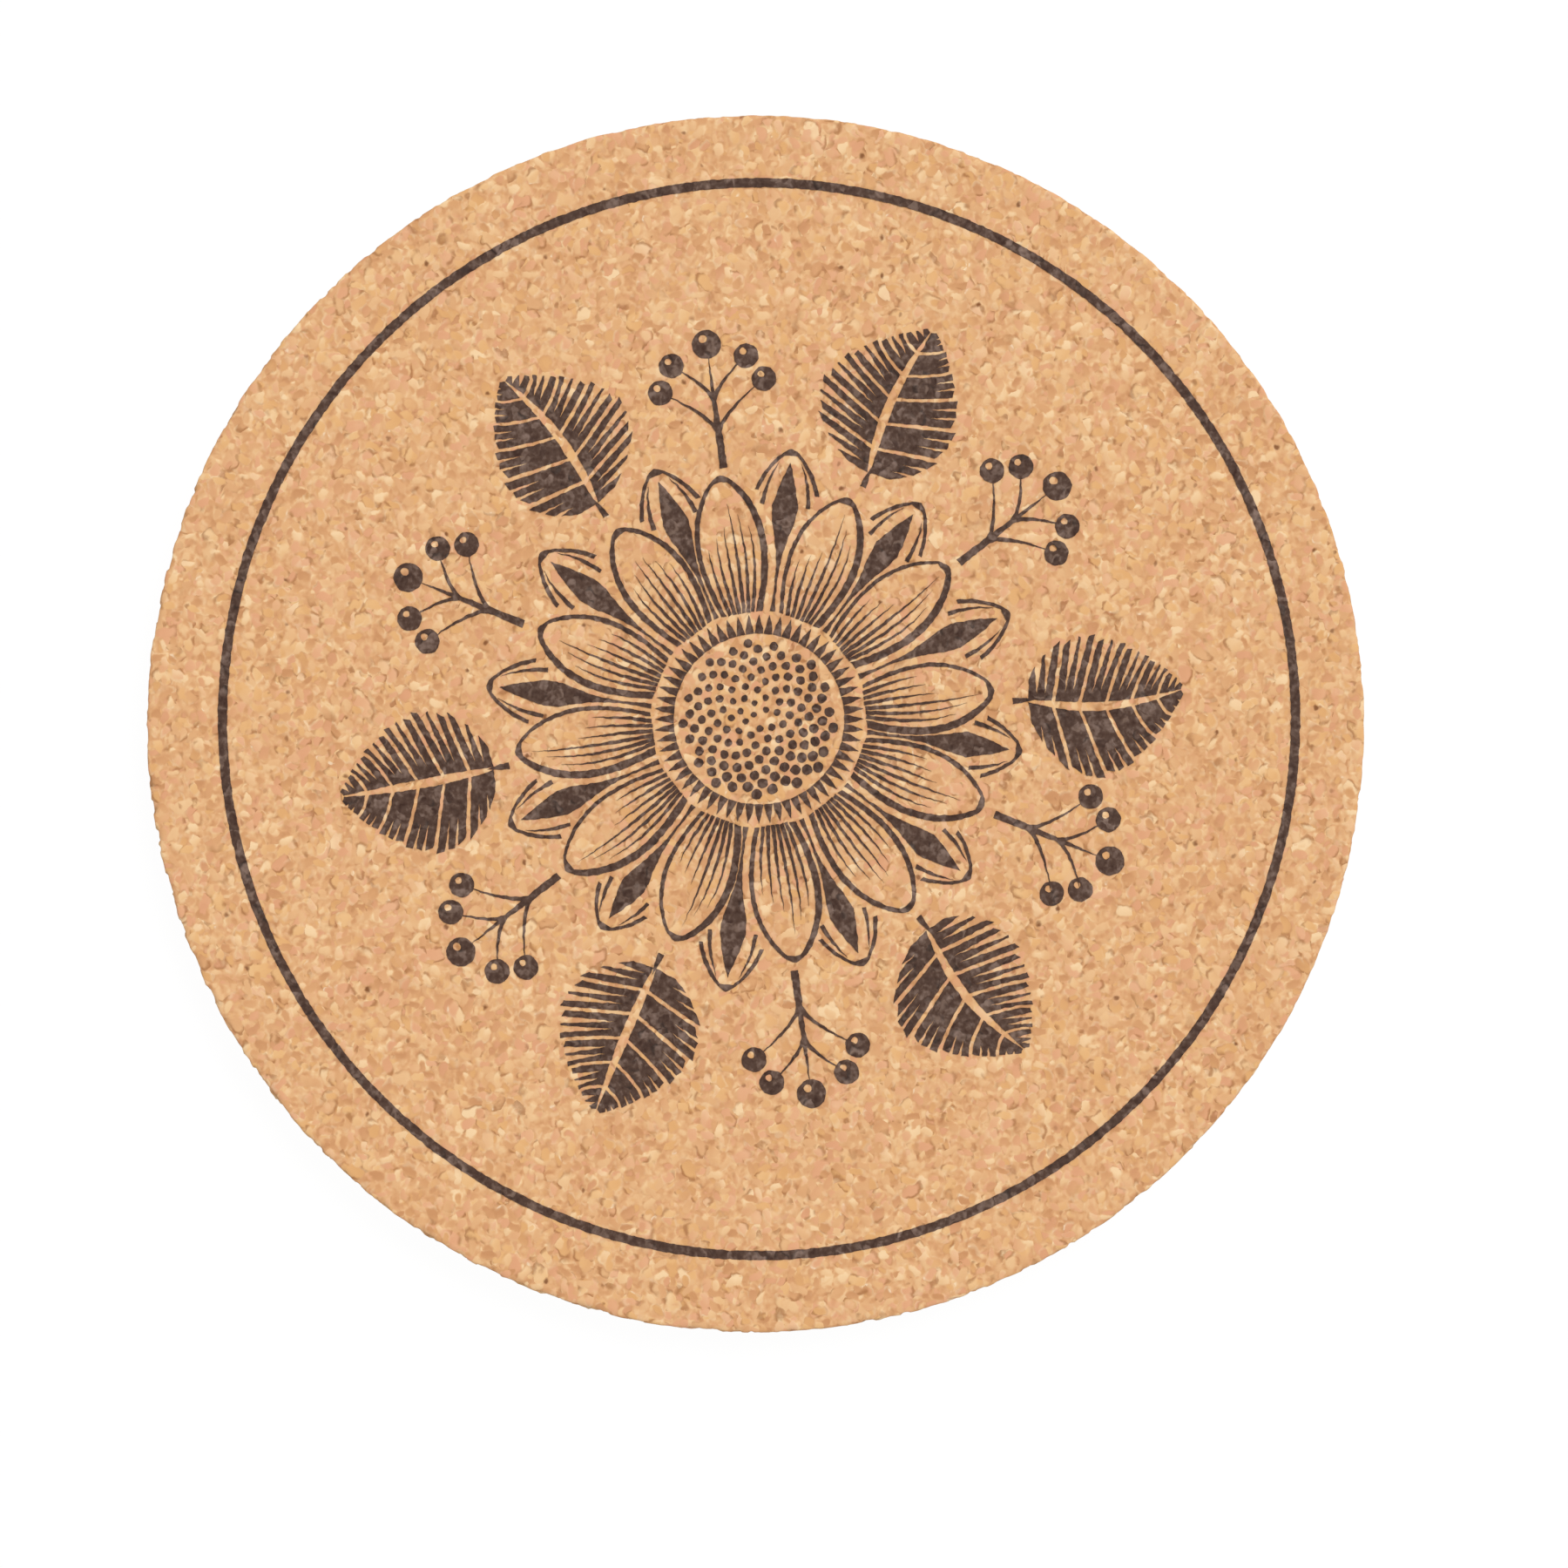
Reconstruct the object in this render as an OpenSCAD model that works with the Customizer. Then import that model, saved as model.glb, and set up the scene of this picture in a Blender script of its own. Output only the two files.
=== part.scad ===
// Round cork coaster: a disc of agglomerated cork with a dark print on its top face.
// Millimetres. The origin is the centre of the disc's underside, and +Z is up.

/* [Disc] */
// Diameter of the cork disc
disc_d = 100; // [95:1:120]
// Thickness of the cork disc
disc_t = 5; // [3:0.5:10]
// Radius of the eased edges
edge_r = 0.3; // [0.1:0.1:1]

/* [Print] */
// Thickness of the film of ink
ink_t = 0.1; // [0.05:0.01:0.2]
// How far the print sits to the right of the disc's centre
print_x = 0.3; // [-1:0.1:1]
// How far the print sits behind the disc's centre
print_y = 0.4; // [-1:0.1:1]
// Width of an ordinary drawn line
line_w = 0.35; // [0.2:0.05:0.4]
// Direction that the drawn light comes from, in degrees from +X
light_angle = 125; // [0:5:360]

/* [Border line] */
// Distance from the disc's edge to the middle of the border line
border_margin = 6; // [4:0.5:8]
// Width of the border line
border_w = 0.75; // [0.4:0.05:1.5]

/* [Picture] */
// Diameter of the whole picture, over the tips of its leaves
picture_d = 70; // [60:1:74]
// Turn of the picture on the disc, in degrees
picture_turn = 8; // [0:1:60]
// Petals in each of the two ranks, with a leaf or a berry sprig beyond each front one
petal_count = 12; // [10:2:14]
// Number of seeds in the head
seed_count = 130; // [80:1:160]

/* [Hidden] */
$fn = 96;
cork_colour = "#e1af7f";
ink_colour = "#4a3a33";

// Radii where the picture's parts start and end, from its centre
picture_r = picture_d / 2;
seed_field_r = 0.18 * picture_r;
fringe_r = [0.2 * picture_r, 0.245 * picture_r];
front_r = [0.25 * picture_r, 0.58 * picture_r];
back_r = [0.255 * picture_r, 0.645 * picture_r];
stem_r = 0.595 * picture_r;
leaf_r = [0.62 * picture_r, picture_r];
sprig_top_r = 0.9 * picture_r;

// Counts of the parts that repeat, and the angles between neighbours
leaf_count = petal_count / 2;
fringe_count = 5 * petal_count;
petal_step = 360 / petal_count;
leaf_step = 360 / leaf_count;

// Half widths of a petal and of a leaf at their widest
petal_hw = 0.275 * 2 * PI * front_r[1] / petal_count;
leaf_hw = 0.155 * picture_r;

// Forms: the part of the length at which each is widest, and how blunt its ends are
front_form = [0.62, 0.62];
back_form = [0.68, 0.7];
leaf_form = [0.42, 0.8];

// Sizes of pen strokes and berries, in proportion to the ordinary line
fine_w = 0.9 * line_w;
tip_w = 1.6 * line_w;
berry_r = 3.4 * line_w;

// Small differences between one petal or leaf and the next, as in a drawing by hand
petal_stretch = rands(0.955, 1, 2 * petal_count, 11);
petal_lean = rands(-1.2, 1.2, petal_count, 5);
leaf_bend = rands(-1.1, 1.1, leaf_count, 3);
leaf_lean = rands(-4, 4, leaf_count, 8);

function mix(a, b, t) = a + (b - a) * t;
function reversed(list) = [for (i = [len(list) - 1 : -1 : 0]) list[i]];
function mirrored(list) = [for (p = list) [p.x, -p.y]];

// Half width of a pointed form at the part t of its length: 0 at both ends and 1 at its widest
function bulge(t, form) = pow(max(0, sin(180 * pow(t, ln(0.5) / ln(form[0])))), form[1]);

// Shade on a side that faces the angle given: 0 in full light, 1 turned away from it
function shade(facing) = (1 - cos(facing - light_angle)) / 2;

// Stroke of the pen along a line of points, w0 wide at its start and pointed at its end
function stroke(line, w0) = let (
    n = len(line) - 1,
    heading = [for (i = [0 : n]) line[min(i + 1, n)] - line[max(i - 1, 0)]],
    normal = [for (h = heading) [-h.y, h.x] / norm(h)],
    half = [for (i = [0 : n]) w0 / 2 * (1 - pow(i / n, 1.6))]
) concat(
    [for (i = [0 : n - 1]) line[i] + normal[i] * half[i]],
    [line[n]],
    [for (i = [n - 1 : -1 : 0]) line[i] - normal[i] * half[i]]
);

// Petals. Each lies along +X from the picture's centre until it is turned to its place.
petal_root = 0.55 * front_r[0];
function petal_hw_at(x, tip, form) = petal_hw * bulge((x - petal_root) / (tip - petal_root), form);
function front_hw(x, tip) = petal_hw_at(x, tip, front_form);
function back_hw(x, tip) = petal_hw_at(x, tip, back_form);

// Half width left free between two full front petals
function gap_hw(x) = let (front = front_hw(min(x, front_r[1]), front_r[1]))
    x * sin(petal_step / 2 - asin(front / x)) - line_w;

// Where a line along a back petal, at the part f of its half width, comes out between them
function clear_x(f, tip) = [for (x = [0.6 * tip : 0.1 : tip]) if (f * back_hw(x, tip) < gap_hw(x)) x][0];

// Stations along a petal, closer together towards its tip
function stations(x0, tip) = [for (k = [0 : 13]) mix(x0, tip, sin(90 * k / 14))];

// Outline of a petal, closed at the tip, left_w and right_w wide along its sides
function petal_band(outer, inner, tip, left_w, right_w) = concat(
    outer,
    [[tip, 0]],
    reversed(mirrored(outer)),
    [for (p = inner) [p.x, right_w - p.y]],
    [[tip - tip_w, 0]],
    [for (p = reversed(inner)) [p.x, p.y - left_w]]
);

module front_petal_drawing(i) {
    tip = front_r[1] * petal_stretch[i];
    turn = picture_turn + i * petal_step + petal_lean[i];
    left_w = line_w * mix(0.9, 1.8, shade(turn + 90));
    right_w = line_w * mix(0.9, 1.8, shade(turn - 90));
    outer = [for (x = stations(front_r[0], tip)) [x, front_hw(x, tip)]];
    inner = [for (x = stations(front_r[0], tip - tip_w)) [x, front_hw(x, tip)]];
    rotate(turn) {
        polygon(petal_band(outer, inner, tip, left_w, right_w));
        for (f = [-0.75 : 0.3 : 0.75]) {
            side_w = f > 0 ? left_w : right_w;
            reach = mix(0.55, 0.95, shade(turn + 90 * sign(f))) * (1 - 0.35 * abs(f));
            xs = [for (k = [0 : 5]) mix(front_r[0], tip, reach * k / 5)];
            polygon(stroke([for (x = xs) [x, f * (front_hw(x, tip) - side_w)]], fine_w));
        }
    }
}

// A back petal shows its tip, with a crease along each side and a dark flame of shade up its middle
crease = 0.66;
module back_petal_drawing(i) {
    tip = back_r[1] * petal_stretch[petal_count + i];
    turn = picture_turn + (i + 0.5) * petal_step;
    show_x = clear_x(1, tip);
    outer = [for (x = stations(show_x, tip)) [x, back_hw(x, tip)]];
    inner = [for (x = stations(show_x, tip - tip_w)) [x, back_hw(x, tip)]];
    flame_tip = 0.95 * tip;
    flame_hw = 4.6 * line_w;
    flame = [for (k = [0 : 9]) let (x = mix(back_r[0], flame_tip, k / 10))
        [x, min(gap_hw(x), flame_hw) * (1 - pow(k / 10, 3))]];
    rotate(turn) {
        polygon(petal_band(outer, inner, tip, line_w, line_w));
        polygon(concat(flame, [[flame_tip, 0]], reversed(mirrored(flame))));
        crease_x = [for (k = [0 : 4]) mix(clear_x(crease, tip), tip - 2 * tip_w, k / 4)];
        crease_line = [for (x = crease_x) [x, crease * back_hw(x, tip)]];
        polygon(stroke(crease_line, line_w));
        polygon(stroke(mirrored(crease_line), line_w));
    }
}

// Leaves. On a leaf, v runs from the base to the tip and s from one edge, -1, to the other, 1.
// Lines of equal v are the veins, which sweep forward from the midrib.
vein_v = [for (k = [0 : 6]) mix(0.02, 0.985, k / 6)];
vein_gap = 0.011;
vein_sweep = 0.15;
tooth_s = 1.1;
midrib_s = 0.07;

// Slits of light in a lobe: half width as a part of the lobe's, and the s where they end
shaded_slit = [0.06, 0.6];
lit_slit = [0.13, 0.2];
function leaf_edge(t) = leaf_hw * bulge(t, leaf_form);
function leaf_at(v, s, bend) = let (t = v + vein_sweep * abs(s) * sin(180 * v))
    [mix(leaf_r[0], leaf_r[1], t), bend * sin(180 * t) + s * leaf_edge(t)];

// Dark area between two veins, with a tooth at the leaf's edge and two slits of light
function leaf_lobe(va, vb, side, bend, slit) = concat(
    [for (v = [va, (va + vb) / 2, vb]) leaf_at(v, midrib_s * side, bend)],
    [for (s = [0.4, 0.75, tooth_s]) leaf_at(vb, s * side, bend)],
    [for (middle = [0.67, 0.33]) for (p = [[slit[0], 1.07], [0, slit[1]], [-slit[0], 1.05]])
        leaf_at(mix(va, vb, middle + p[0]), p[1] * side, bend)],
    [for (s = [1, 0.75, 0.4]) leaf_at(va, s * side, bend)]
);

module leaf_drawing(i) {
    turn = picture_turn + i * leaf_step + leaf_lean[i];
    bend = leaf_bend[i];
    dark = shade(turn + 90) > shade(turn - 90) ? 1 : -1;
    rotate(turn) {
        for (k = [0 : len(vein_v) - 2]) {
            va = vein_v[k] + vein_gap;
            vb = vein_v[k + 1] - vein_gap;
            polygon(leaf_lobe(va, vb, dark, bend, shaded_slit));
            polygon(leaf_lobe(va, vb, -dark, bend, lit_slit));
        }
        stem = [for (u = [0 : 0.25 : 1]) [mix(stem_r, leaf_r[0] + 1, u), 0]];
        polygon(stroke(stem, 1.5 * line_w));
    }
}

// A berry with a spot of light on the side that faces the angle given
module berry(radius, light) {
    difference() {
        circle(radius);
        rotate(light) translate([0.45 * radius, 0]) circle(0.28 * radius);
    }
}

module berry_sprig_drawing(i) {
    turn = picture_turn + (i + 0.5) * leaf_step;
    top = sprig_top_r - berry_r;
    rotate(turn) {
        polygon(stroke([for (k = [0 : 5]) [mix(stem_r, top, k / 5), 0]], 1.8 * line_w));
        translate([top + 0.6 * berry_r, 0]) berry(berry_r, light_angle - turn);
        for (pair = [0, 1], side = [-1, 1]) {
            start = mix(stem_r, top, 0.3 + 0.28 * pair);
            reach = berry_r * [3.3 - 0.5 * pair, (3.6 - pair) * side];
            polygon(stroke([for (u = [0 : 0.2 : 1]) [start + reach.x * u, reach.y * pow(u, 1.5)]], line_w));
            translate([start, 0] + reach) berry(0.85 * berry_r, light_angle - turn);
        }
    }
}

// Seeds in the spirals of a flower head, larger towards its rim and on its shaded side
module seed_head_drawing() {
    golden_angle = 180 * (3 - sqrt(5));
    pitch = seed_field_r / sqrt(seed_count);
    for (i = [1 : seed_count]) {
        outward = sqrt(i / seed_count);
        seed_r = pitch * mix(0.5, 0.8, outward) * mix(0.8, 1, shade(i * golden_angle));
        rotate(i * golden_angle)
            translate([seed_field_r * outward, 0])
                circle(seed_r);
    }
}

module head_fringe_drawing() {
    tick = [for (u = [0, 0.5, 1]) [mix(fringe_r[0], fringe_r[1], u), 0]];
    for (i = [0 : fringe_count - 1])
        rotate(i * 360 / fringe_count)
            polygon(stroke(tick, 2 * line_w));
}

module border_line_drawing() {
    border_r = disc_d / 2 - border_margin;
    difference() {
        circle(border_r + border_w / 2);
        circle(border_r - border_w / 2);
    }
}

// A drawing laid on the disc's top face as a film of ink
module inked() {
    color(ink_colour)
        translate([print_x, print_y, disc_t])
            linear_extrude(ink_t)
                children();
}

module cork_disc() {
    flat_r = disc_d / 2 - edge_r;
    quarter = [for (a = [0 : 15 : 90]) edge_r * [sin(a), cos(a)]];
    color(cork_colour)
        rotate_extrude()
            polygon(concat(
                [[0, 0]],
                [for (p = quarter) [flat_r + p.x, edge_r - p.y]],
                [for (p = reversed(quarter)) [flat_r + p.x, disc_t - edge_r + p.y]],
                [[0, disc_t]]
            ));
}

module border_line() {
    inked() border_line_drawing();
}

module seed_head() {
    inked() seed_head_drawing();
}

module head_fringe() {
    inked() head_fringe_drawing();
}

module front_petal(i) {
    inked() front_petal_drawing(i);
}

module back_petal(i) {
    inked() back_petal_drawing(i);
}

module leaf(i) {
    inked() leaf_drawing(i);
}

module berry_sprig(i) {
    inked() berry_sprig_drawing(i);
}

cork_disc();
border_line();
seed_head();
head_fringe();
for (i = [1 : petal_count]) {
    front_petal(i - 1);
    back_petal(i - 1);
}
for (i = [1 : leaf_count]) {
    leaf(i - 1);
    berry_sprig(i - 1);
}
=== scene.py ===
"""Looks of a round cork coaster with a dark print: camera, light, floor, cork and ink."""
import math
from collections import Counter, namedtuple

import bmesh
import bpy
from mathutils import Color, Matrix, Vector, noise


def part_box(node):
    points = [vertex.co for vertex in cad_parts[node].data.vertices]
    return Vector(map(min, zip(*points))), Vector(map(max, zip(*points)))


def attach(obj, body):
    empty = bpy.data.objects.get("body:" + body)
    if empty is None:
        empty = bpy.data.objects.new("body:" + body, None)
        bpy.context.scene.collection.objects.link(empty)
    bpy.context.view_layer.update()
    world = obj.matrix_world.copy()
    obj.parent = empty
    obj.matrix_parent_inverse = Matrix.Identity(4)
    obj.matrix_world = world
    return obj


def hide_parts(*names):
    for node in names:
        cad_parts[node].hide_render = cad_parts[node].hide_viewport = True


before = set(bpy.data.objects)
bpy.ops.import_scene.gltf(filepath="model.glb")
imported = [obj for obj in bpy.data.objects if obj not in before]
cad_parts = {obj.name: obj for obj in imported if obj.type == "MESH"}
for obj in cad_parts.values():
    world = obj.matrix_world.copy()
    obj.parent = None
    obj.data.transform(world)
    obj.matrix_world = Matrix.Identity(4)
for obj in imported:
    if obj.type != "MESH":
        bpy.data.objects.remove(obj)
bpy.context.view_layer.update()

MM = 0.001

# Sizes from the frame, in metres: the radius is the one that fits in the disc's box on all sides
disc_low, disc_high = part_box("cork_disc")
disc_r = min(disc_high.x, disc_high.y, -disc_low.x, -disc_low.y)
disc_t = disc_high.z - disc_low.z

# The disc in the photograph, in pixels of its square frame
PHOTO_SIDE = 1800
PHOTO_DISC_X = 867.2
PHOTO_DISC_Y = 831.0
PHOTO_DISC_R = 699.8

# Camera, in millimetres
LENS = 85
SENSOR = 36

# Light
KEY_FROM = Vector((0.34, 0.42, 0.84)).normalized()
KEY_SPREAD = 25  # degrees
KEY_SHARE = 0.45  # what the key gives a level white surface
WORLD_SHARE = 0.56  # what the world gives it
WHITE = (1.0, 1.0, 1.0, 1.0)

# Floor
FLOOR_HALF = 1.5  # half its side, in metres
FLOOR_GAP = 0.02 * MM  # between it and the disc
FLOOR_GLOW = 0.96  # white that is its own, seen by the camera
FLOOR_LIT = 0.05  # white that comes from the light, so that a soft shadow shows
FLOOR_BOUNCE = 0.7  # what a white floor gives back to the sides of what stands on it

# Skin of the disc: spacing of its points, and its rounded edges
TOP_SPACING = 0.38 * MM
RIM_SPACING = 0.34 * MM
UNDER_SPACING = 0.6 * MM
EDGE_R = 0.3 * MM
EDGE_STEPS = 3
RING_STAGGER = 0.618  # share of a step by which each ring of points starts further round

# Texture map of the skin: middle and radius of each face's circle, and the strips that the rim is cut into
TOP_MIDDLE = Vector((0.345, 0.655))
TOP_RADIUS = 0.34
UNDER_MIDDLE = Vector((0.76, 0.24))
UNDER_RADIUS = 0.235
RIM_STRIPS = 8
STRIP_START = Vector((0.005, 0.005))
STRIP_SIZE = Vector((0.262, 0.034))
STRIP_PITCH = 0.0375

# Cork grain, in millimetres: flake size of each layer, small ones first and those with relief on top
SMALL_LAYERS = (0.8, 0.9)
RELIEF_LAYERS = (1.85, 1.2, 1.6, 1.08)
GRAIN_START = (137.0, 211.0, 173.0)  # far off the disc's axis, where layers of different size would line up
GRAIN_SQUEEZE = (1.05, 0.95, 1.0)  # a little narrower one way than the other
WARP = 0.7  # how far noise bends the grain
WARP_SIZE = 1.0
WARP_DETAIL = 3.0

# Matrix between the flakes: a fine noise, sized in millimetres, and the tone and height that follow it
MATRIX_SIZE = 0.6
MATRIX_DETAIL = 1.0
MATRIX_CONTRAST = 1.4
MATRIX_SHIFT = -0.25
MATRIX_HEIGHT = 0.5

# One flake of cork
FLAKE_TURN = 4 * math.pi  # most that it is turned
FLAKE_SQUEEZE = (0.78, 1.8, 1.15)
SQUARENESS = 0.35  # 0 for a round flake, 1 for a square one
LEAST_REACH = 0.32  # from its middle to its edge, as a share of its layer's size
MORE_REACH = 0.34  # by which the largest reach further
SOFT = 0.3  # width of its edge, in millimetres
PAINTED_SHADE_ACROSS = 1.1  # painted shade across it: its tone goes from pale on one side to dark on the other
FLAKE_HEIGHT = 0.65  # of a dark one
TONE_HEIGHT = 0.35  # by which a pale one stands higher

# Crescents along a flake's edge, painted shade on one side and painted highlight on the other: ranges over
# which they come up
CRESCENT_HALF = 0.9 * SOFT  # half its width, in millimetres
CRESCENT_SIDE = (0.08, 0.2)  # off the flake's middle, as a share of its size
CRESCENT_LOT = (0.2, 0.7)  # of the flake's lot
LOT_SPREAD = 7.0  # makes a new lot of the one that gives a flake its reach

# Colours, as 8-bit sRGB: tones from dark to pale, and coats over them with the most that each covers
Coat = namedtuple("Coat", "shade share")
CORK_TONES = {
    0.0: (203, 146, 100),
    0.3: (218, 163, 114),
    0.55: (228, 178, 128),
    0.8: (237, 194, 144),
    1.0: (245, 210, 164),
}
CORK_PINK = Coat((227, 166, 126), 0.8)
CORK_GOLD = Coat((230, 177, 116), 0.7)
# Painted shade in the crescents on one side of a flake's edge, and painted highlight in those on the other
CORK_PAINTED_SHADE = Coat((164, 107, 62), 0.75)
CORK_PAINTED_HIGHLIGHT = Coat((250, 224, 182), 0.3)
CORK_SPECK = Coat((126, 77, 42), 0.9)
# Painted glints
CORK_GLINT = Coat((253, 234, 204), 0.45)
INK_TONES = {
    0.2: (50, 26, 15),
    0.5: (79, 56, 44),
    0.8: (130, 107, 95),
}
# Painted shade in the crescents on one side of a flake's edge, and painted highlight in those on the other
INK_PAINTED_SHADE = Coat((32, 20, 14), 0.7)
INK_PAINTED_HIGHLIGHT = Coat((156, 130, 114), 0.4)

# Cork's drift of tone and tint, its size in millimetres, and the tints at which pink and gold come up
DRIFT_SIZE = 2.2
TONE_DRIFT = 0.45
TINT_DRIFT = 0.6
PINK_TINTS = (0.55, 0.95)
GOLD_TINTS = (0.4, 0.05)

# Dark specks, in millimetres
SPECK_SPACING = 1.7
SPECK_R = 0.3
SPECK_CORE = 0.3  # share of the radius that is fully dark
SPECK_LOT = (0.7, 0.9)  # range of lots over which they come up

# Painted glints on the painted highlight crescents: size of the places that have them, in millimetres, and
# ranges where they come up
GLINT_SIZE = 1.0
GLINT_PLACES = (0.6, 0.68)
GLINT_HIGHLIGHTS = (0.6, 0.95)

# Mottle of the ink: a noise, sized in millimetres, its share of the tone, and the range for roughness
MOTTLE_SIZE = 0.42
MOTTLE_DETAIL = 3.0
MOTTLE_SHARE = 0.6
MOTTLE_RANGE = (0.3, 0.7)

# Surfaces: roughness from dark to pale, bump in millimetres, and gloss
CORK_ROUGHNESS = (0.9, 0.75)
CORK_BUMP = 0.02
INK_ROUGHNESS = (0.75, 0.55)
INK_BUMP = 0.05
SPECULAR = 0.25

# Relief, in millimetres below the disc's solid: on the faces, and where crumbs are lost from the rim
FACE_DEPTH = 0.08
RIM_DEPTH = 0.36
RIM_BAND = 0.3  # how far in from the rim the crumbs go
RIM_CRUMB = 0.95
CRUMB_POWER = 3.0  # makes deep ones rare
FRAY_TOWARDS = (-0.8, -0.6, 0.0)  # side where the rim is worn most
FRAY_RANGE = (-25.0, 35.0)  # along that direction
FRAY_LEAST = 0.35

# Ink of the print: how far it stands above the cork's face and soaks in, in metres
INK_RISE = 0.03 * MM
INK_SOAK = 0.07 * MM

# Rough edges of the print, in metres: spacing of the points, and how far and at what size noise moves them
PRINT_STEP = 0.2 * MM
PRINT_ROUGH = 0.07 * MM
PRINT_ROUGH_SIZE = 0.45 * MM
PRINT_FINER = 2.7  # how much finer a second noise is
PRINT_FINE_SHARE = 0.4
PRINT_SEED = 7  # of that noise, so that each run gives the same edges
PLAN_DIGITS = 8  # decimals to which points of an outline are told apart
FACING_UP = 0.5  # least rise of the normal on the top of a film


def colour(shade):
    """Scene-linear colour of an 8-bit sRGB shade."""
    return (*Color([value / 255 for value in shade]).from_srgb_to_scene_linear(), 1.0)


class Graph:
    """Adds nodes to a tree and links them, for materials and geometry alike."""

    def __init__(self, tree):
        self.tree = tree
        tree.nodes.clear()

    def plug(self, socket, value):
        if isinstance(value, bpy.types.NodeSocket):
            self.tree.links.new(value, socket)
        else:
            socket.default_value = value

    def add(self, kind, settings=None, **inputs):
        """A node with its settings, and its inputs by name, with _ for a space."""
        node = self.tree.nodes.new(kind)
        for name, value in (settings or {}).items():
            setattr(node, name, value)
        for name, value in inputs.items():
            self.plug(node.inputs[name.replace("_", " ")], value)
        return node

    def compute(self, kind, operation, values):
        """Outputs of a node that works on values in order."""
        node = self.add(kind, {"operation": operation})
        for socket, value in zip(node.inputs, values):
            self.plug(socket, value)
        return node.outputs

    def math(self, operation, *values):
        return self.compute("ShaderNodeMath", operation, values)["Value"]

    def vector(self, operation, *values):
        gives_number = operation in ("DOT_PRODUCT", "LENGTH")
        return self.compute("ShaderNodeVectorMath", operation, values)["Value" if gives_number else "Vector"]

    def scaled(self, vector, factor):
        node = self.add("ShaderNodeVectorMath", {"operation": "SCALE"}, Vector=vector, Scale=factor)
        return node.outputs["Vector"]

    def centred(self, vector):
        """A vector whose parts go from 0 to 1, moved so that they go from -0.5 to 0.5."""
        return self.vector("SUBTRACT", vector, (0.5, 0.5, 0.5))

    def split(self, vector):
        return self.add("ShaderNodeSeparateXYZ", Vector=vector).outputs

    def step(self, value, start, end, low=0.0, high=1.0):
        """Smooth step from low to high as value goes from start to end."""
        node = self.add(
            "ShaderNodeMapRange", {"interpolation_type": "SMOOTHSTEP"},
            Value=value, From_Min=start, From_Max=end, To_Min=low, To_Max=high,
        )
        return node.outputs["Result"]

    def blend(self, factor, a, b):
        return self.math("MULTIPLY_ADD", self.math("SUBTRACT", b, a), factor, a)

    def cells(self, place, size):
        """Voronoi cells about size millimetres across."""
        return self.add("ShaderNodeTexVoronoi", Vector=place, Scale=1 / size).outputs

    def noise(self, place, size, detail=2.0):
        """Noise with features about size millimetres across."""
        return self.add("ShaderNodeTexNoise", Vector=place, Scale=1 / size, Detail=detail).outputs

    def ramp(self, value, tones):
        """Colour that goes through tones, given by their positions, as value goes from 0 to 1."""
        node = self.add("ShaderNodeValToRGB", Fac=value)
        elements = node.color_ramp.elements
        while len(elements) < len(tones):
            elements.new(0.5)
        for element, (position, shade) in zip(elements, tones.items()):
            element.position = position
            element.color = colour(shade)
        return node.outputs["Color"]

    def coat(self, under, coat, where):
        """Colour under with a coat on it, none where where is 0 and the coat's share where it is 1."""
        factor = self.math("MULTIPLY", where, coat.share)
        node = self.add("ShaderNodeMixRGB", Fac=factor, Color1=under, Color2=colour(coat.shade))
        return node.outputs["Color"]


def flakes(g, bent, size):
    """One layer of flakes about size millimetres across: where they cover, and what each one is like."""
    cell = g.cells(bent, size)
    lots = g.split(cell["Color"])
    way = g.centred(cell["Color"])
    from_middle = g.scaled(g.vector("SUBTRACT", bent, cell["Position"]), 1 / size)
    angle = g.math("MULTIPLY", lots[0], FLAKE_TURN)
    turned = g.add("ShaderNodeVectorRotate", Vector=from_middle, Axis=way, Angle=angle).outputs[0]
    squeezed = g.vector("MULTIPLY", g.vector("ABSOLUTE", turned), FLAKE_SQUEEZE)
    x, y, z = g.split(squeezed)
    squared = g.math("MAXIMUM", g.math("MAXIMUM", x, y), z)
    shape = g.blend(SQUARENESS, g.vector("LENGTH", squeezed), squared)
    reach = g.math("MULTIPLY_ADD", lots[2], MORE_REACH, LEAST_REACH)
    off = g.math("MULTIPLY", g.math("SUBTRACT", shape, reach), size)
    side = g.vector("DOT_PRODUCT", from_middle, way)
    crescent_lot = g.math("FRACT", g.math("MULTIPLY", lots[2], LOT_SPREAD))
    near_edge = g.step(g.math("ABSOLUTE", g.math("ADD", off, SOFT / 2)), CRESCENT_HALF, 0.0)
    return {
        "cover": g.step(off, 0.0, -SOFT),
        "rim": g.math("MULTIPLY", g.step(crescent_lot, *CRESCENT_LOT), near_edge),
        "side": side,
        # Its own tone, with painted shade across it from one side to the other
        "tone": g.math("MULTIPLY_ADD", side, PAINTED_SHADE_ACROSS, lots[1]),
        "tint": lots[0],
    }


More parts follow.
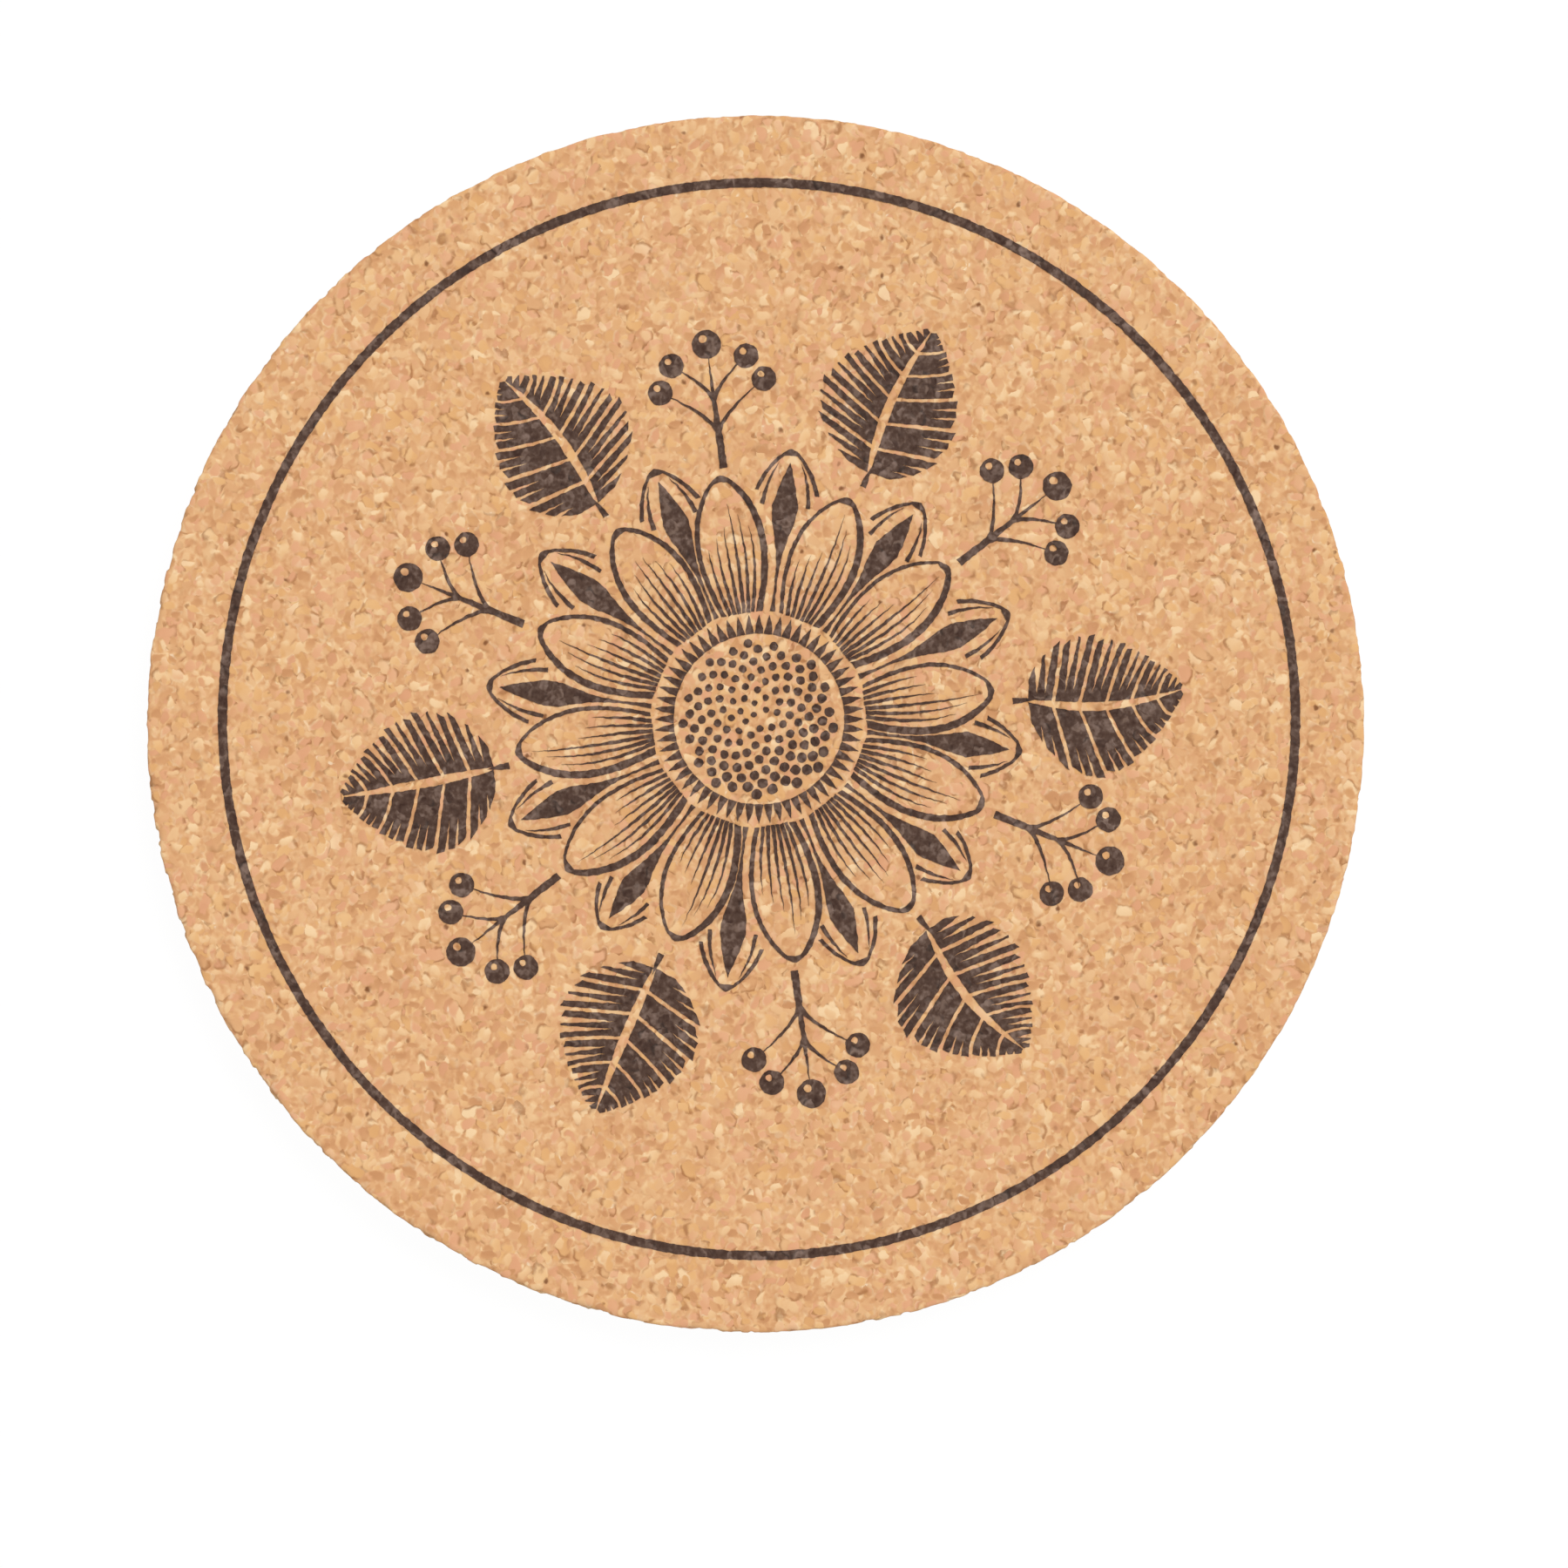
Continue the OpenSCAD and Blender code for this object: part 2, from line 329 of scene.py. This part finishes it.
def grain(g, position, layers):
    """Agglomerated cork at a position in millimetres: layers of flakes over a fine matrix."""
    place = g.vector("MULTIPLY_ADD", position, GRAIN_SQUEEZE, GRAIN_START)
    push = g.centred(g.noise(place, WARP_SIZE, WARP_DETAIL)["Color"])
    bent = g.vector("ADD", place, g.scaled(push, WARP))
    matrix = g.noise(bent, MATRIX_SIZE, MATRIX_DETAIL)
    field = {
        "place": place,
        "bent": bent,
        "tone": g.math("MULTIPLY_ADD", matrix["Fac"], MATRIX_CONTRAST, MATRIX_SHIFT),
        "tint": g.split(matrix["Color"])[1],
        "painted_shade": 0.0,
        "painted_highlight": 0.0,
        "height": g.math("MULTIPLY", matrix["Fac"], MATRIX_HEIGHT),
    }
    for size in layers:
        layer = flakes(g, bent, size)
        for name in ("tone", "tint"):
            field[name] = g.blend(layer["cover"], field[name], layer[name])
        below = g.math("SUBTRACT", 1.0, layer["cover"])
        # Crescents of painted shade on one side of each flake's edge, and of painted highlight on the other
        for name, sign in (("painted_shade", 1), ("painted_highlight", -1)):
            one_side = g.step(layer["side"], *(sign * limit for limit in CRESCENT_SIDE))
            crescent = g.math("MULTIPLY", one_side, layer["rim"])
            field[name] = g.math("MAXIMUM", g.math("MULTIPLY", field[name], below), crescent)
        if size in RELIEF_LAYERS:
            top = g.math("MULTIPLY_ADD", layer["tone"], TONE_HEIGHT, FLAKE_HEIGHT)
            field["height"] = g.blend(layer["cover"], field["height"], top)
    return field


def specks(g, bent):
    """Small dark specks in some of the cells, 1 in a speck and 0 outside it."""
    cell = g.cells(bent, SPECK_SPACING)
    reach = SPECK_R / SPECK_SPACING
    near = g.step(cell["Distance"], reach, SPECK_CORE * reach)
    return g.math("MULTIPLY", near, g.step(g.split(cell["Color"])[0], *SPECK_LOT))


def glints(g, field):
    """Painted highlight crescents that shine as painted glints, in a few places."""
    here_and_there = g.step(g.noise(field["place"], GLINT_SIZE)["Fac"], *GLINT_PLACES)
    return g.math("MULTIPLY", g.step(field["painted_highlight"], *GLINT_HIGHLIGHTS), here_and_there)


def new_material(name):
    """An empty node material, with the position on the object in millimetres."""
    material = bpy.data.materials.new(name)
    material.use_nodes = True
    g = Graph(material.node_tree)
    position = g.scaled(g.add("ShaderNodeTexCoord").outputs["Object"], 1 / MM)
    return material, g, position


def finish_material(g, base, roughness, height, rise):
    """Principled surface with a bump of rise millimetres."""
    bump = g.add("ShaderNodeBump", Strength=1.0, Distance=rise * MM, Height=height)
    shader = g.add(
        "ShaderNodeBsdfPrincipled",
        Base_Color=base, Roughness=roughness, Specular_IOR_Level=SPECULAR, Normal=bump.outputs[0],
    )
    g.add("ShaderNodeOutputMaterial", Surface=shader.outputs[0])


def cork_material():
    material, g, position = new_material("cork")
    field = grain(g, position, SMALL_LAYERS + RELIEF_LAYERS)
    drift = g.split(g.centred(g.noise(field["place"], DRIFT_SIZE)["Color"]))
    tone = g.math("MULTIPLY_ADD", drift[0], TONE_DRIFT, field["tone"])
    tint = g.math("MULTIPLY_ADD", drift[1], TINT_DRIFT, field["tint"])
    # Colour from the tone, which carries the painted shade across each flake
    base = g.ramp(tone, CORK_TONES)
    base = g.coat(base, CORK_PINK, g.step(tint, *PINK_TINTS))
    base = g.coat(base, CORK_GOLD, g.step(tint, *GOLD_TINTS))
    # Painted shade and painted highlight in crescents along the flakes' edges
    base = g.coat(base, CORK_PAINTED_SHADE, field["painted_shade"])
    base = g.coat(base, CORK_PAINTED_HIGHLIGHT, field["painted_highlight"])
    base = g.coat(base, CORK_SPECK, specks(g, field["bent"]))
    # Painted glints
    base = g.coat(base, CORK_GLINT, glints(g, field))
    roughness = g.step(field["tone"], 0.0, 1.0, *CORK_ROUGHNESS)
    finish_material(g, base, roughness, field["height"], CORK_BUMP)
    return material


def ink_material():
    material, g, position = new_material("ink")
    field = grain(g, position, RELIEF_LAYERS)
    mottle = g.noise(field["place"], MOTTLE_SIZE, MOTTLE_DETAIL)["Fac"]
    # Colour from the tone, which carries the painted shade across each flake
    base = g.ramp(g.blend(MOTTLE_SHARE, field["tone"], mottle), INK_TONES)
    # Painted shade and painted highlight in crescents along the flakes' edges
    base = g.coat(base, INK_PAINTED_SHADE, field["painted_shade"])
    base = g.coat(base, INK_PAINTED_HIGHLIGHT, field["painted_highlight"])
    roughness = g.step(mottle, *MOTTLE_RANGE, *INK_ROUGHNESS)
    finish_material(g, base, roughness, field["height"], INK_BUMP)
    return material


Ring = namedtuple("Ring", "radius height count region level")


def skin_rings():
    """Rings of points over the disc's skin, from under its middle round the rim to the middle of its top.

    A ring's level is the number of rim rings below it.
    """
    flat_r = disc_r - EDGE_R
    wall = disc_t - 2 * EDGE_R
    rim_count = RIM_STRIPS * round(2 * math.pi * disc_r / RIM_SPACING / RIM_STRIPS)
    rings = []

    def add_ring(radius, height, count, region):
        level = sum(ring.region == "rim" for ring in rings)
        rings.append(Ring(radius, height, count, region, level))

    def flat_ring(share, height, spacing, region):
        add_ring(flat_r * share, height, round(2 * math.pi * flat_r * share / spacing), region)

    def rim_ring(radius, height):
        add_ring(radius, height, rim_count, "rim")

    add_ring(0.0, 0.0, 1, "under")
    under_steps = round(flat_r / UNDER_SPACING)
    for k in range(1, under_steps):
        flat_ring(k / under_steps, 0.0, UNDER_SPACING, "under")
    quarter = [math.pi / 2 * k / EDGE_STEPS for k in range(EDGE_STEPS)]
    for turn in quarter:
        rim_ring(flat_r + EDGE_R * math.sin(turn), EDGE_R * (1 - math.cos(turn)))
    wall_steps = round(wall / RIM_SPACING)
    for k in range(wall_steps):
        rim_ring(disc_r, EDGE_R + wall * k / wall_steps)
    for turn in quarter:
        rim_ring(flat_r + EDGE_R * math.cos(turn), disc_t - EDGE_R * (1 - math.sin(turn)))
    top_steps = round(flat_r / TOP_SPACING)
    for k in range(top_steps, 0, -1):
        flat_ring(k / top_steps, disc_t, TOP_SPACING, "top")
    add_ring(0.0, disc_t, 1, "top")
    return rings


def turn_share(rings, ring, step):
    """How far round its ring a point is, as a share of a turn. Each ring starts a little further on."""
    return (step + ring * RING_STAGGER % 1) / rings[ring].count


def stitch(rings, low):
    """Triangles between a ring and the next, each corner as its ring and its step along it."""
    high = low + 1
    low_steps, high_steps = (0 if rings[k].count == 1 else rings[k].count for k in (low, high))
    i = j = 0
    while i < low_steps or j < high_steps:
        low_is_next = turn_share(rings, low, i + 1) <= turn_share(rings, high, j + 1)
        if j == high_steps or (i < low_steps and low_is_next):
            yield (low, i), (low, i + 1), (high, j)
            i += 1
        else:
            yield (low, i), (high, j + 1), (high, j)
            j += 1


def round_point(radius, share):
    return Vector((radius * math.cos(2 * math.pi * share), radius * math.sin(2 * math.pi * share)))


def map_corners(rings, corners):
    """Places of a triangle's corners on the skin's texture map."""
    region = rings[corners[0][0]].region
    shares = [turn_share(rings, ring, step) for ring, step in corners]
    if region == "rim":
        strip = min(math.floor(RIM_STRIPS * sum(shares) / len(shares)), RIM_STRIPS - 1)
        return [
            STRIP_START + Vector((
                STRIP_SIZE.x * (RIM_STRIPS * share - strip),
                STRIP_SIZE.y * rings[ring].level / rings[-1].level + STRIP_PITCH * strip,
            ))
            for (ring, _), share in zip(corners, shares)
        ]
    middle, size = (TOP_MIDDLE, TOP_RADIUS) if region == "top" else (UNDER_MIDDLE, UNDER_RADIUS)
    return [
        middle + round_point(size * rings[ring].radius / disc_r, share)
        for (ring, _), share in zip(corners, shares)
    ]


def cork_mesh():
    """Closed skin of the disc, dense enough to carry the grain."""
    rings = skin_rings()
    points = []
    starts = []
    for k, ring in enumerate(rings):
        starts.append(len(points))
        plan = [round_point(ring.radius, turn_share(rings, k, step)) for step in range(ring.count)]
        points += [(x, y, ring.height) for x, y in plan]
    triangles = [corners for low in range(len(rings) - 1) for corners in stitch(rings, low)]
    faces = [[starts[ring] + step % rings[ring].count for ring, step in corners] for corners in triangles]
    mesh = bpy.data.meshes.new("cork")
    mesh.from_pydata(points, [], faces)
    mesh.shade_smooth()
    places = [place for corners in triangles for place in map_corners(rings, corners)]
    layer = mesh.uv_layers.new(name="OFBake")
    layer.uv.foreach_set("vector", [value for place in places for value in place])
    return mesh


def crumb_depth(g, position, bent):
    """Depth of the rim where crumbs are lost, in millimetres, and 0 away from the rim."""
    in_plan = g.vector("MULTIPLY", position, (1.0, 1.0, 0.0))
    at_rim = g.step(g.vector("LENGTH", in_plan), disc_r / MM - RIM_BAND, disc_r / MM)
    lost = g.math("POWER", g.split(g.cells(bent, RIM_CRUMB)["Color"])[0], CRUMB_POWER)
    frayed = g.step(g.vector("DOT_PRODUCT", position, FRAY_TOWARDS), *FRAY_RANGE, FRAY_LEAST, 1.0)
    depth = g.math("MULTIPLY", g.math("MULTIPLY", lost, frayed), RIM_DEPTH)
    return g.math("MULTIPLY", depth, at_rim)


def relief_nodes():
    """Geometry nodes that sink the skin between the flakes, and crumble the rim."""
    tree = bpy.data.node_groups.new("cork_relief", "GeometryNodeTree")
    g = Graph(tree)
    for direction in ("INPUT", "OUTPUT"):
        tree.interface.new_socket("Geometry", in_out=direction, socket_type="NodeSocketGeometry")
    skin = g.add("NodeGroupInput").outputs[0]
    position = g.scaled(g.add("GeometryNodeInputPosition").outputs[0], 1 / MM)
    normal = g.add("GeometryNodeInputNormal").outputs[0]
    field = grain(g, position, RELIEF_LAYERS)
    face_depth = g.math("MULTIPLY", g.math("SUBTRACT", 1.0, field["height"]), FACE_DEPTH)
    depth = g.math("ADD", crumb_depth(g, position, field["bent"]), face_depth)
    offset = g.scaled(normal, g.math("MULTIPLY", g.math("MAXIMUM", depth, 0.0), -MM))
    moved = g.add("GeometryNodeSetPosition", Geometry=skin, Offset=offset).outputs[0]
    g.add("NodeGroupOutput", Geometry=moved)
    return tree


def place_object(name, data):
    obj = bpy.data.objects.new(name, data)
    bpy.context.scene.collection.objects.link(obj)
    return obj


def cork_disc(material):
    """The disc, with its relief worked into the mesh."""
    skin = cork_mesh()
    obj = place_object("cork", skin)
    obj.modifiers.new("relief", "NODES").node_group = relief_nodes()
    obj.data = bpy.data.meshes.new_from_object(obj.evaluated_get(bpy.context.evaluated_depsgraph_get()))
    obj.modifiers.clear()
    bpy.data.meshes.remove(skin)
    obj.data.materials.append(material)
    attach(obj, "root")
    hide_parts("cork_disc")


def plan_point(x, y):
    """A point of an outline, rounded so that edges which meet there share it."""
    return (round(x, PLAN_DIGITS), round(y, PLAN_DIGITS))


def film_outline(mesh):
    """Edges round the top of a film of ink, each as its two end points in plan."""
    sides = Counter()
    for face in mesh.polygons:
        if face.normal.z > FACING_UP:
            corners = [mesh.vertices[k].co for k in face.vertices]
            plan = [plan_point(corner.x, corner.y) for corner in corners]
            sides.update(frozenset(ends) for ends in zip(plan, plan[1:] + plan[:1]))
    return [sorted(side) for side, uses in sides.items() if uses == 1]


def roughened(x, y):
    """A point of the print's outline, moved as rough cork takes the ink."""
    place = Vector((x, y, 0.0))
    coarse = noise.noise_vector(place / PRINT_ROUGH_SIZE)
    fine = noise.noise_vector(place / PRINT_ROUGH_SIZE * PRINT_FINER)
    moved = place + PRINT_ROUGH * (coarse + PRINT_FINE_SHARE * fine)
    return (moved.x, moved.y, disc_high.z + INK_RISE)


def print_mesh(name, node_mesh):
    """Film of ink with the CAD film's outline, roughened."""
    film = bmesh.new()
    points = {}

    def point(x, y):
        key = plan_point(x, y)
        if key not in points:
            points[key] = film.verts.new(roughened(x, y))
        return points[key]

    def scale(factor):
        bmesh.ops.scale(film, vec=(factor, factor, factor), verts=film.verts)

    for (ax, ay), (bx, by) in film_outline(node_mesh):
        steps = max(1, round(math.hypot(bx - ax, by - ay) / PRINT_STEP))
        row = [point(ax + (bx - ax) * k / steps, ay + (by - ay) * k / steps) for k in range(steps + 1)]
        for a, b in zip(row, row[1:]):
            film.edges.new((a, b))
    # The fill's own tolerance is too coarse for these lines in metres, so it is done in millimetres
    scale(1 / MM)
    bmesh.ops.triangle_fill(film, use_beauty=True, edges=film.edges)
    scale(MM)
    top = bmesh.ops.extrude_face_region(film, geom=film.faces[:])
    lower = [item for item in top["geom"] if isinstance(item, bmesh.types.BMVert)]
    bmesh.ops.translate(film, verts=lower, vec=(0.0, 0.0, -INK_RISE - INK_SOAK))
    bmesh.ops.recalc_face_normals(film, faces=film.faces)
    mesh = bpy.data.meshes.new(name)
    film.to_mesh(mesh)
    film.free()
    return mesh


def print_film(material):
    """The print, a film of ink for each of its nodes."""
    noise.seed_set(PRINT_SEED)
    for name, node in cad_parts.items():
        if name == "cork_disc":
            continue
        obj = place_object(name + "_print", print_mesh(name + "_print", node.data))
        obj.data.materials.append(material)
        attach(obj, "root")
        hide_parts(name)


def seen_directly(g):
    """1 for what the camera sees, also in gloss or through glass, and 0 for the rest of the light's paths."""
    path = g.add("ShaderNodeLightPath").outputs
    seen = g.math("MAXIMUM", path["Is Camera Ray"], path["Is Glossy Ray"])
    return g.math("MAXIMUM", seen, path["Is Transmission Ray"])


def floor_material():
    """White that mostly glows by itself, so that the shadow on it stays faint."""
    material = bpy.data.materials.new("floor")
    material.use_nodes = True
    g = Graph(material.node_tree)
    lit = g.add("ShaderNodeBsdfDiffuse", Color=(FLOOR_LIT, FLOOR_LIT, FLOOR_LIT, 1.0)).outputs[0]
    strength = g.math("MULTIPLY_ADD", seen_directly(g), FLOOR_GLOW - FLOOR_BOUNCE, FLOOR_BOUNCE)
    glow = g.add("ShaderNodeEmission", Strength=strength).outputs[0]
    both = g.add("ShaderNodeAddShader")
    g.plug(both.inputs[0], lit)
    g.plug(both.inputs[1], glow)
    g.add("ShaderNodeOutputMaterial", Surface=both.outputs[0])
    return material


def floor():
    mesh = bpy.data.meshes.new("floor")
    corners = [(-1, -1), (1, -1), (1, 1), (-1, 1)]
    mesh.from_pydata([(FLOOR_HALF * x, FLOOR_HALF * y, -FLOOR_GAP) for x, y in corners], [], [(0, 1, 2, 3)])
    mesh.materials.append(floor_material())
    place_object("floor", mesh)


def camera():
    """Straight down on the disc, which lies in the frame as in the photograph."""
    pixel = disc_r / PHOTO_DISC_R
    data = bpy.data.cameras.new("camera")
    data.lens = LENS
    data.sensor_width = SENSOR
    obj = place_object("camera", data)
    obj.location = (
        (PHOTO_SIDE / 2 - PHOTO_DISC_X) * pixel,
        (PHOTO_DISC_Y - PHOTO_SIDE / 2) * pixel,
        disc_t + PHOTO_SIDE * pixel * LENS / SENSOR,
    )
    bpy.context.scene.camera = obj


def light():
    """A white world and one soft key, which together light a level white surface as white."""
    world = bpy.data.worlds.new("world")
    world.use_nodes = True
    g = Graph(world.node_tree)
    strength = g.math("MULTIPLY_ADD", seen_directly(g), 1 - WORLD_SHARE, WORLD_SHARE)
    background = g.add("ShaderNodeBackground", Color=WHITE, Strength=strength)
    g.add("ShaderNodeOutputWorld", Surface=background.outputs[0])
    bpy.context.scene.world = world
    key = bpy.data.lights.new("key", "SUN")
    key.energy = KEY_SHARE * math.pi / KEY_FROM.z
    key.angle = math.radians(KEY_SPREAD)
    place_object("key", key).rotation_euler = (-KEY_FROM).to_track_quat("-Z", "Y").to_euler()


bpy.context.scene.view_settings.view_transform = "Standard"
camera()
light()
floor()
cork_disc(cork_material())
print_film(ink_material())

bpy.context.view_layer.update()
